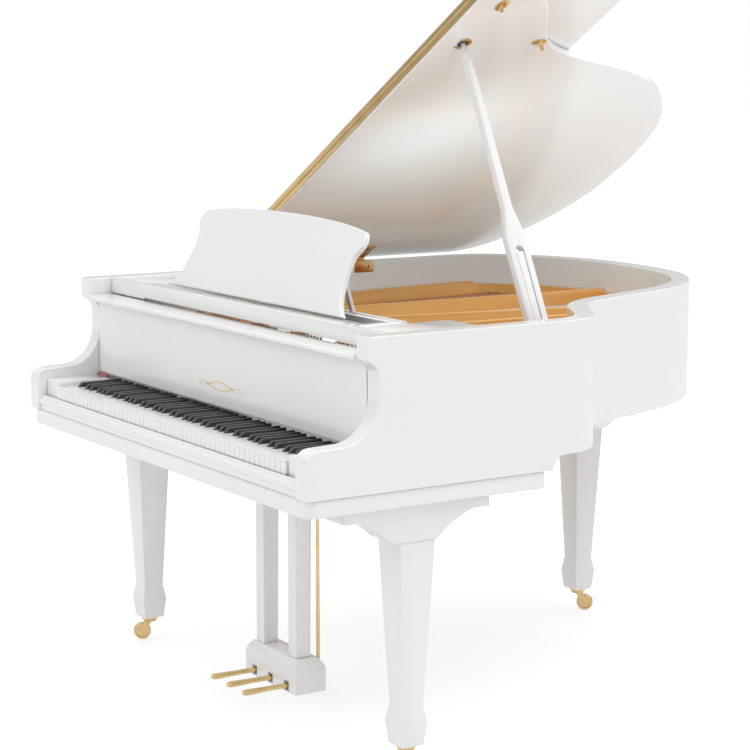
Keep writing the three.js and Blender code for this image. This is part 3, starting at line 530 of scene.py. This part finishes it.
def stringRuns():
    # each bay is filled by lines whose slant goes from one edge's slant to the other's
    reach = inward(bentSide(0.3), 0.125)
    order = np.argsort(reach[:, 0])
    edges = stringValues["bays"]
    fronts, tails = [], []
    for k, count in enumerate(stringValues["perBay"]):
        (xa, ta), (xb, tb) = edges[k], edges[k + 1]
        f = np.linspace(0.16, 0.84, count)
        x0 = (1 - f) * xa + f * xb
        slope = -((1 - f) * math.tan(math.radians(ta)) + f * math.tan(math.radians(tb)))
        end = np.interp(x0, reach[order, 0], reach[order, 1])
        for _ in range(6):
            end = np.interp(x0 + slope * (end - 0.56), reach[order, 0], reach[order, 1])
        fronts.append(np.stack([x0 - slope * 0.10, np.full(count, 0.46), np.full(count, 0.0)], 1))
        tails.append(np.stack([x0 + slope * (end - 0.56), end, np.full(count, 0.0)], 1))
    return np.concatenate(fronts), np.concatenate(tails)


def buildStrings():
    v = stringValues
    front, tail = stringRuns()
    keep = tail[:, 1] > 0.66
    front, tail = front[keep], tail[keep]
    rise = np.array([0, 0, v["height"]])
    bass = np.arange(len(front)) < v["bassCount"]
    copper = rods("bass", front[bass] + rise, tail[bass] + rise, v["copper"], 8)
    settle("bass_strings", copper, "copper", "case")
    plain = rods("steel", front[~bass] + rise, tail[~bass] + rise, v["steel"], 5)
    settle("steel_strings", plain, "steel", "case")
    rows = np.tile(np.arange(3), len(front))[:len(front)] * v["pinPitch"]
    foot = front + np.stack([0 * rows, -0.01 - rows, 0 * rows + 0.905], 1)
    top = foot + [0, 0, v["pinTop"] - 0.905]
    settle("tuning_pins", rods("pins", foot, top, v["pinRadius"], 8), "steel", "case")
    post = tail + [0, 0.004, 0.905]
    settle("hitch_pins", rods("hitch", post, post + [0, 0, 0.024], 0.0022, 6), "steel", "case")


bridgeValues = {"inset": 0.24, "wide": 0.016, "tall": 0.026}


def buildBridge():
    v = bridgeValues
    line = inward(bentSide(0.65), v["inset"])
    line = line[(line[:, 0] < 0.40) & (line[:, 0] > -0.30) & (line[:, 1] > 0.7)]
    line = line[np.argsort(-line[:, 0])]
    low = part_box("soundboard")[1].z + 0.0005
    side = np.stack([np.gradient(line[:, 1]), -np.gradient(line[:, 0])], 1)
    side /= np.linalg.norm(side, axis=1, keepdims=True)
    a, b = line + side * v["wide"], line - side * v["wide"]
    corners = ((a, low), (b, low), (b, low + v["tall"]), (a, low + v["tall"]))
    rings = np.stack([np.c_[edge, np.full(len(edge), z)] for edge, z in corners], 1)
    settle("string_bridge", loft("bridge", rings), "maple", "case", (), 0.002)


damperValues = {"first": -0.60, "last": 0.44, "count": 66, "front": 0.612, "back": 0.654, "headHalf": 0.0055,
                "headLow": 0.941, "headTop": 0.957, "padHalf": 0.0045, "padLow": 0.926, "padTop": 0.9405}


def buildDampers():
    v = damperValues

    def blocks(w, inset, low, high):
        front, back = v["front"] + inset, v["back"] - inset
        places = np.linspace(v["first"], v["last"], v["count"])
        boxes = [prism("block", rectangle(x - w, x + w, front, back), low, high, "z") for x in places]
        return joined("blocks", boxes)

    heads = blocks(v["headHalf"], 0.0, v["headLow"], v["headTop"])
    settle("damper_heads", heads, "darkFelt", "case", (), 0.0015, 2)
    pads = blocks(v["padHalf"], 0.002, v["padLow"], v["padTop"])
    settle("damper_pads", pads, "roseFelt", "case", (), 0.001, 2)


# keyboard
keyValues = {"pitch": 0.0235, "count": 52, "front": 0.022, "top": 0.755, "blackFront": 0.073, "blackWidth": 0.012,
             "gap": 0.0012, "tail": 0.19, "lip": 0.0016, "groups": (0, 17, 35, 52)}


def whiteNote(i):
    return (i + 5) % 7


def hasBlack(i):
    return 0 <= i < keyValues["count"] - 1 and whiteNote(i) not in (2, 6)


def whiteLeft(i):
    return (i - keyValues["count"] / 2) * keyValues["pitch"]


def blackCentre(i):
    return whiteLeft(i + 1) + (-0.002, 0.002, 0.0, -0.0025, 0.0, 0.0025, 0.0)[whiteNote(i)]


def whiteKey(i):
    # L, T or J outline: full width in front, narrowed beside each black key behind
    v = keyValues
    a, b = whiteLeft(i) + v["gap"] / 2, whiteLeft(i + 1) - v["gap"] / 2
    room = v["blackWidth"] / 2 + 0.0012
    c = max(a, blackCentre(i - 1) + room) if hasBlack(i - 1) else a
    d = min(b, blackCentre(i) - room) if hasBlack(i) else b
    y0, y1, y2 = v["front"], v["blackFront"] - 0.0015, v["tail"]
    outline = [(a, y0), (b, y0), (b, y1), (d, y1), (d, y2), (c, y2), (c, y1), (a, y1)]
    keep = [p for k, p in enumerate(outline) if p != outline[k - 1]]
    top = prism("top", keep, v["top"] - 0.0028, v["top"], "z")
    y0 += v["lip"]
    low = prism("low", [(p[0], max(p[1], y0)) for p in keep], 0.723, v["top"] - 0.0030, "z")
    return joined("key", [top, low])


def blackKey(i):
    # raised wedge: base rectangle shrinks upward, its nose leans back
    v = keyValues
    x, w = blackCentre(i), v["blackWidth"] / 2
    back = v["tail"] + 0.009
    levels = [(0.739, w, 0.0), (0.7555, w, 0.0005), (0.7648, w - 0.0012, 0.0075), (0.767, w - 0.0022, 0.0115)]
    rings = [[(*p, z) for p in rectangle(x - s, x + s, v["blackFront"] + lean, back)] for z, s, lean in levels]
    return loft("key", rings)


def buildKeys():
    ends = keyValues["groups"]
    for g, name in enumerate(("bass", "middle", "treble")):
        span = range(ends[g], ends[g + 1])
        white = joined("keys", [whiteKey(i) for i in span])
        settle("white_key_row_" + name, white, "ivory", "white_" + name, ("white_keys_" + name,), 0.0006, 2, 40)
        black = joined("keys", [blackKey(i) for i in span if hasBlack(i)])
        settle("black_key_row_" + name, black, "ebony", "black_" + name, ("black_keys_" + name,), 0.0011, 3, 25)


# fallboard and music desk
fallValues = {"panelFront": 0.185, "panelBack": 0.203, "bottom": 0.776, "lipFront": 0.150, "lipBack": 0.222,
              "lipLow": 0.975, "lipTop": 0.990}


def buildFallboard():
    v = fallValues
    low, high, r = v["lipLow"], v["lipTop"], (v["lipTop"] - v["lipLow"]) / 2
    nose = arc(v["lipFront"] + r, low + r, r, 90, 270, 14)
    profile = np.concatenate([
        [(v["panelFront"], v["bottom"]), (v["panelBack"], v["bottom"]), (v["panelBack"], 0.966),
         (v["lipBack"], low), (v["lipBack"], high)], nose,
        chain((v["panelFront"] - 0.008, low), [[(v["panelFront"] - 0.002, low), (v["panelFront"], low - 0.003),
                                                (v["panelFront"], low - 0.009)]], 6)])
    settle("fallboard_panel", prism("panel", profile, -half + 0.052, half - 0.052, "x"), "lacquer", "fallboard",
           ("fallboard",), 0.0015, 3)
    fromSolid("fallboard_felt", "paleFelt", 0.0003, 1)
    pad = prism("pad", rectangle(-half + 0.054, -half + 0.112, 0.176, 0.1845), 0.7681, 0.7725, "z")
    settle("key_block_felt", pad, "brightFelt", "case", (), 0.0008, 2)


markValues = {"x": 0.009, "z": 0.826, "width": 0.140, "height": 0.026, "depth": 0.0006}


def buildMark():
    # a plain inlay: three nested lozenges drawn out sideways
    v = markValues
    front = fallValues["panelFront"] - v["depth"]
    parts = []
    for shift, size in ((0.0, 1.0), (-0.62, 0.42), (0.62, 0.42)):
        t = np.linspace(0, 2 * np.pi, 40, endpoint=False)
        w, h = v["width"] * size / 2, v["height"] * size / 2
        c, s = np.cos(t), np.sin(t)
        x = v["x"] + shift * v["width"] + w * np.sign(c) * np.abs(c) ** 1.8
        z = v["z"] + h * np.sign(s) * np.abs(s) ** 1.8
        outer, inner = np.stack([x, z], 1), np.stack([x, z], 1)
        inner = (inner - outer.mean(0)) * 0.80 + outer.mean(0)
        rings = np.stack([np.insert(outer, 1, front, 1), np.insert(outer, 1, front + v["depth"] + 0.0004, 1),
                          np.insert(inner, 1, front + v["depth"] + 0.0004, 1), np.insert(inner, 1, front, 1)], 1)
        parts.append(ringSweep("mark", rings))
    settle("fallboard_inlay", joined("inlay", parts), "brass", "fallboard")


deskValues = {"height": 0.228, "thickness": 0.015, "lean": 25.0, "foot": (0.0, 0.2744, 1.033),
              "hinges": (-0.3, 0.0, 0.3)}


def deskTurn():
    v = deskValues
    return Matrix.Translation(v["foot"]) @ Matrix.Rotation(math.radians(-v["lean"]), 4, "X")


def buildMusicDesk():
    h = deskValues["height"]
    right = chain((0.437, 0.006), [
        [(0.400, 0.030), (0.380, 0.080), (0.384, 0.140)],
        [(0.386, 0.165), (0.405, 0.172), (0.408, 0.185)],
        [(0.411, 0.200), (0.402, 0.214), (0.396, h - 0.010)]], 14)
    crest = cubic([(0.396, h - 0.010), (0.250, h + 0.022), (-0.250, h + 0.022), (-0.396, h - 0.010)], 40)[1:-1]
    outline = np.concatenate([right, crest, right[::-1] * [-1, 1]])
    settle("music_desk_board", prism("board", outline, 0.0, deskValues["thickness"], "y", deskTurn()), "lacquer",
           "desk", ("music_desk",), 0.003, 4)
    fromSolid("music_desk_tray", "lacquer", 0.0025)
    fromSolid("music_desk_strut", "lacquer", 0.001, 2)
    leaf = [prism("leaf", rectangle(x - 0.026, x + 0.026, 0.006, 0.026), 0.0148, 0.0162, "y", deskTurn())
            for x in deskValues["hinges"]]
    settle("desk_hinge_leaves", joined("leaves", leaf), "brass", "desk", (), 0.0004, 2)


# lid
lidValues = {"angle": 30.4, "thickness": 0.017, "lift": 0.004, "split": 0.620, "flapFront": 0.168, "edge": 0.004,
             "corner": 0.018}
hingeLine = Vector((-half - 0.0045, 0.0, caseTop + 0.00215))
lidLow = caseTop + lidValues["lift"]
lidTop = lidLow + lidValues["thickness"]
lidTurn = (Matrix.Translation(hingeLine) @ Matrix.Rotation(math.radians(-lidValues["angle"]), 4, "Y")
           @ Matrix.Translation(-hingeLine))
flapAxis = Vector((0.0, lidValues["split"] - 0.002, lidTop + 0.002))
flapTurn = (lidTurn @ Matrix.Translation(flapAxis) @ Matrix.Rotation(math.pi, 4, "X")
            @ Matrix.Translation(-flapAxis))


def buildLid():
    v = lidValues
    settle("lid_panel", prism("lid", bentSide(v["split"]), lidLow, lidTop, "z", lidTurn), "lacquer", "lid",
           ("lid_main",), v["edge"], 4)
    r = v["corner"]
    outline = np.concatenate([[(-half, v["split"] - 0.004)], arc(-half + r, v["flapFront"] + r, r, 180, 270),
                              arc(half - r, v["flapFront"] + r, r, 270, 360), [(half, v["split"] - 0.004)]])
    settle("lid_flap_panel", prism("flap", outline, lidLow, lidTop, "z", flapTurn), "lacquer", "flap",
           ("lid_flap",), v["edge"], 4)


hingeValues = {"screws": 22, "screwRadius": 0.0022, "knuckle": 0.0023, "knuckles": 59, "reveal": 0.0045,
               "end": 0.006}


def buildLongHinge():
    v, split = hingeValues, lidValues["split"]
    left, right = -half + v["end"], half - v["end"]
    plate = prism("leaf", rectangle(left, right, split - 0.0036, split - 0.0023),
                  lidLow + v["reveal"], lidTop - 0.001, "z", flapTurn)
    settle("flap_leaf_strip", plate, "brass", "flap", ("flap_leaf",), 0.0003, 1)
    leaf = prism("leaf", rectangle(left, right, split - 0.0018, split - 0.0004),
                 lidLow + v["reveal"], lidTop, "z", lidTurn)
    count = v["knuckles"]
    edges = np.linspace(left, right, count + 1)
    a = np.stack([edges[:-1], np.full(count, flapAxis.y), np.full(count, flapAxis.z)], 1)
    b = a.copy()
    b[:, 0] = edges[1:] - 0.0006
    knuckles = rods("knuckles", a, b, v["knuckle"], 12, lidTurn)
    settle("long_hinge_leaf", joined("hinge", [leaf, knuckles]), "brass", "lid", ("long_hinge",), 0.0002, 1)
    x = np.linspace(-half + 0.05, half - 0.05, v["screws"])
    y = np.full(len(x), split - 0.0018)
    z = np.full(len(x), lidLow + 0.0100)
    a, b = np.stack([x, y + 0.0002, z], 1), np.stack([x, y - 0.0003, z], 1)
    settle("long_hinge_screws", rods("heads", a, b, v["screwRadius"], 12, lidTurn), "brass", "lid")
    a = np.stack([x, np.full(len(x), split - 0.0025), z], 1)
    heads = rods("heads", a, a + [0, 0.0005, 0], v["screwRadius"], 12, flapTurn)
    settle("flap_leaf_screws", heads, "brass", "flap")


sideHingeValues = {"places": (("rear", 1.048), ("front", 0.720)), "screwRadius": 0.0042, "screwSides": 16}


def buildSideHinges():
    v = sideHingeValues
    radius, sides = v["screwRadius"], v["screwSides"]
    for name, y in v["places"]:
        fromSolid("side_hinge_" + name + "_rim", "brass", 0.0004, 2)
        fromSolid("side_hinge_" + name + "_lid", "brass", 0.0004, 2)
        x = -half + 0.05 + 0.0021
        spots = np.array([(x, y - 0.016, caseTop - 0.016), (x, y + 0.016, caseTop - 0.016)])
        heads = rods("heads", spots, spots + [0.0012, 0, 0], radius, sides)
        settle("side_hinge_screws_" + name, heads, "screw", "case")
        under = np.array([(-half + x, y + dy, lidLow - 0.0016) for x in (0.03, 0.06) for dy in (-0.018, 0.018)])
        heads = rods("heads", under, under - [0, 0, 0.001], radius, sides, lidTurn)
        settle("side_hinge_lid_screws_" + name, heads, "screw", "lid")


def buildLidFittings():
    fromSolid("prop_cup", "brass", 0.0006, 2)
    fromSolid("lid_catch", "brass", 0.0008, 2)
    fromSolid("spare_prop_cup", "brass", 0.0008, 2)
    disc = np.array([[0.5, 0.69, lidLow - 0.0001]])  # dark floor of the cup
    disc = rods("floor", disc - [0, 0, 0.0003], disc + [0, 0, 0.0004], 0.0146, 32, lidTurn)
    settle("prop_cup_floor", disc, "darkFelt", "lid")


def buildProp():
    fromSolid("lid_prop", "lacquer", 0.0022, 3)
    fromSolid("short_prop", "lacquer", 0.0018, 3)
    fromSolid("prop_bracket", "brass", 0.0008, 2)


# legs, casters, lyre
def buildLegs():
    for name in ("left", "right", "rear"):
        fromSolid("leg_" + name, "lacquer", 0.0022, 3)
        fromSolid("leg_bracket_" + name, "lacquer", 0.0007, 2)
        fromSolid("caster_fork_" + name, "brass", 0.0009, 2)


# places: leg X and Y, and how far the fork is turned in degrees
wheelValues = {"radius": 0.0245, "width": 0.017, "bore": 0.0041, "trail": 0.022, "dish": 0.0050, "round": 0.0022,
               "steps": 64, "places": (("left", (-0.66, 0.311), 147.5), ("right", (0.66, 0.311), 160.0),
                                       ("rear", (-0.258, 1.529), -32.5))}


def buildWheels():
    # turned profile: hub, dished web, rounded tread
    v = wheelValues
    w, soft, steps = v["width"] / 2, v["round"], v["steps"]
    tread = arc(0.0, 0.0, 1.0, -80, 80, 9)
    outer = np.stack([v["radius"] - soft + soft * tread[:, 0], (w - soft) * tread[:, 1]], 1)
    side = np.array([(v["bore"], w), (0.0098, w), (0.0104, w - v["dish"]), (0.0172, w - v["dish"]),
                     (0.0180, w - 0.0004), (0.0212, w - 0.0004)])
    profile = np.concatenate([side * [1, -1], outer, side[::-1]])
    t = np.linspace(0, 2 * np.pi, steps, endpoint=False)
    for name, leg, swivel in v["places"]:
        rings = np.stack([np.broadcast_to(profile[:, 1], (steps, len(profile))),
                          np.cos(t)[:, None] * profile[:, 0], np.sin(t)[:, None] * profile[:, 0]], -1)
        turn = (Matrix.Translation((leg[0], leg[1], 0)) @ Matrix.Rotation(math.radians(swivel), 4, "Z")
                @ Matrix.Translation((0, v["trail"], v["radius"])))
        settle("caster_tread_" + name, ringSweep("wheel", rings, turn), "brass", "wheel_" + name,
               ("caster_wheel_" + name,), 0.0, 3, 35)


pedalValues = {"pitch": 0.082, "z": 0.054, "tip": 0.2002, "heel": 0.4, "thick": 0.0068}


def buildPedals():
    # stations along Y: half width swells to a rounded toe; each section is a soft-cornered oval
    v = pedalValues
    y = np.concatenate([v["tip"] + 0.012 * (1 - np.cos(np.linspace(0.12, np.pi / 2, 9))),
                        np.linspace(0.216, v["heel"], 30)])
    toe = np.sqrt(np.clip(1 - ((0.212 - y) / 0.0119).clip(0) ** 2, 0.01, 1))
    swell = 0.0082 + 0.0027 / (1 + np.exp((y - 0.244) / 0.006))
    wide = np.where(y < 0.212, swell * toe, swell)
    tall = v["thick"] * np.where(y < 0.212, 0.35 + 0.65 * toe, 1.0)
    tall = tall * (0.86 + 0.14 / (1 + np.exp((y - 0.25) / 0.01)))
    t = np.linspace(0, 2 * np.pi, 36, endpoint=False)
    c, s = np.cos(t), np.sin(t)
    c, s = np.sign(c) * np.abs(c) ** 0.72, np.sign(s) * np.abs(s) ** 0.72
    for i, name in enumerate(("soft", "middle", "sustain")):
        rings = np.stack([(i - 1) * v["pitch"] + wide[:, None] * c, np.broadcast_to(y[:, None], (len(y), len(t))),
                          v["z"] + tall[:, None] * s], -1)
        settle("pedal_blade_" + name, loft("pedal", rings), "brass", "pedal_" + name, ("pedal_" + name,),
               0.0, 3, 50)
        fromSolid("pedal_rod_" + name, "brass", 0.0006, 2)


def buildLyre():
    fromSolid("lyre_posts", "lacquer", 0.002, 3)
    fromSolid("lyre_box", "lacquer", 0.002, 3)


buildRim()
buildCaseBoards()
buildKeySlip()
print("case built")
buildPlate()
buildStrings()
buildBridge()
buildDampers()
print("plate and strings built")
buildKeys()
print("keys built")
buildFallboard()
buildMark()
buildMusicDesk()
print("fallboard and desk built")
buildLid()
buildLongHinge()
buildSideHinges()
buildLidFittings()
buildProp()
print("lid and prop built")
buildLegs()
buildWheels()
buildPedals()
buildLyre()
print("legs, casters and lyre built")


# floor, light, camera
# lamps: name, place, power, size, aim; reach: the only objects that a lamp acts on
stageValues = {"floor": rgb(0.48, 0.48, 0.48), "speck": rgb(0.46, 0.46, 0.46), "glow": 0.63, "bounce": 0.44,
               "low": 0.42, "high": 1.12, "halfSize": 30.0, "insideTint": (0.70, 0.90, 1.0)}
lampAim = (0.0, 0.0, 0.8)
lampValues = (("keyLight", (-0.8, -4.9, 3.0), 36.0, 3.2, lampAim),
              ("fillLight", (4.9, -0.2, 1.2), 6.0, 2.4, lampAim),
              ("topLight", (2.2, 0.6, 4.6), 58.0, 2.6, lampAim),
              ("lidLight", (4.9, -0.6, 1.4), 56.0, 2.0, lampAim),
              ("backLight", (-0.5, 4.6, 3.6), 11.0, 3.0, lampAim),
              ("insideLight", (0.20, -0.04, 1.07), 2.3, 0.35, (-0.5, 0.40, 1.12)))
lampReach = {"lidLight": ("lid_panel", "lid_flap_panel"),
             "insideLight": ("lid_panel", "lid_flap_panel", "case_rim", "inner_rim")}


def buildFloor():
    v = stageValues
    mesh = bpy.data.meshes.new("floor")
    s = v["halfSize"]
    mesh.from_pydata([(-s, -s, 0), (s, -s, 0), (s, s, 0), (-s, s, 0)], [], [(0, 1, 2, 3)])
    floor = bpy.data.objects.new("floor", mesh)
    bpy.context.scene.collection.objects.link(floor)

    def paint(wire, values):
        speck = wire.noise(3.0, detail=2)
        direct = wire.make("ShaderNodeLightPath", out="Is Camera Ray")
        dim, full = values["bounce"], values["glow"]
        return {"Base Color": wire.blend(speck, values["speck"], values["floor"]), "Roughness": 0.6,
                "Specular IOR Level": 0.1, "Emission Strength": 1.0,
                "Emission Color": wire.blend(direct, rgb(dim, dim, dim), rgb(full, full, full))}

    mesh.materials.append(newFinish("paleFloor", paint, v))
    return floor


def buildSky():
    # strength rises from the horizon to straight up and down by |z|^0.8; plain white behind the piano
    v = stageValues
    world = bpy.data.worlds.new("studio")
    bpy.context.scene.world = world
    world.use_nodes = True
    wire = Wire(world.node_tree)
    back = next(n for n in world.node_tree.nodes if n.type == "BACKGROUND")
    direct = wire.make("ShaderNodeLightPath", out="Is Camera Ray")
    heading = wire.make("ShaderNodeTexCoord", out="Generated")
    height = wire.make("ShaderNodeSeparateXYZ", None, {"Vector": heading}, "Z")
    sky = v["low"] + (height.maths("ABSOLUTE", height) ** 0.8) * (v["high"] - v["low"])
    strength = sky * (1.0 - direct) + direct
    world.node_tree.links.new(strength.out, back.inputs["Strength"])
    back.inputs["Color"].default_value = rgb(1.0, 1.0, 1.0)


def buildLamps():
    made = []
    for name, place, power, size, target in lampValues:
        light = bpy.data.lights.new(name, "AREA")
        light.energy, light.size = power, size
        lamp = bpy.data.objects.new(name, light)
        bpy.context.scene.collection.objects.link(lamp)
        lamp.location = place
        aim = Vector(target) - Vector(place)
        lamp.rotation_euler = aim.to_track_quat("-Z", "Y").to_euler()
        made.append(lamp)
    for name, reach in lampReach.items():
        reached = bpy.data.collections.new(name + "Reach")
        for obj in list(bpy.context.scene.objects):
            if obj.name.startswith(reach):
                reached.objects.link(obj)
        bpy.data.objects[name].light_linking.receiver_collection = reached
        bpy.data.objects[name].visible_glossy = False
        bpy.data.objects[name].visible_camera = False
    bpy.data.lights["insideLight"].color = stageValues["insideTint"]
    return made


def buildStage():
    floor = buildFloor()
    buildSky()
    buildLamps()


cameraValues = {"place": (4.5259, -2.2413, 1.6407), "azimuth": 57.4533, "down": 8.7354, "lens": 100.13}


def buildCamera():
    v = cameraValues
    lens = bpy.data.cameras.new("camera")
    lens.lens, lens.sensor_width, lens.clip_end = v["lens"], 36.0, 100.0
    camera = bpy.data.objects.new("camera", lens)
    bpy.context.scene.collection.objects.link(camera)
    camera.location = toRow @ Vector(v["place"])
    camera.rotation_euler = (math.radians(90 - v["down"]), 0.0, math.radians(v["azimuth"]))
    bpy.context.scene.camera = camera


buildStage()
buildCamera()
bpy.context.scene.view_settings.view_transform = "Standard"
print("stage ready")

bpy.context.view_layer.update()
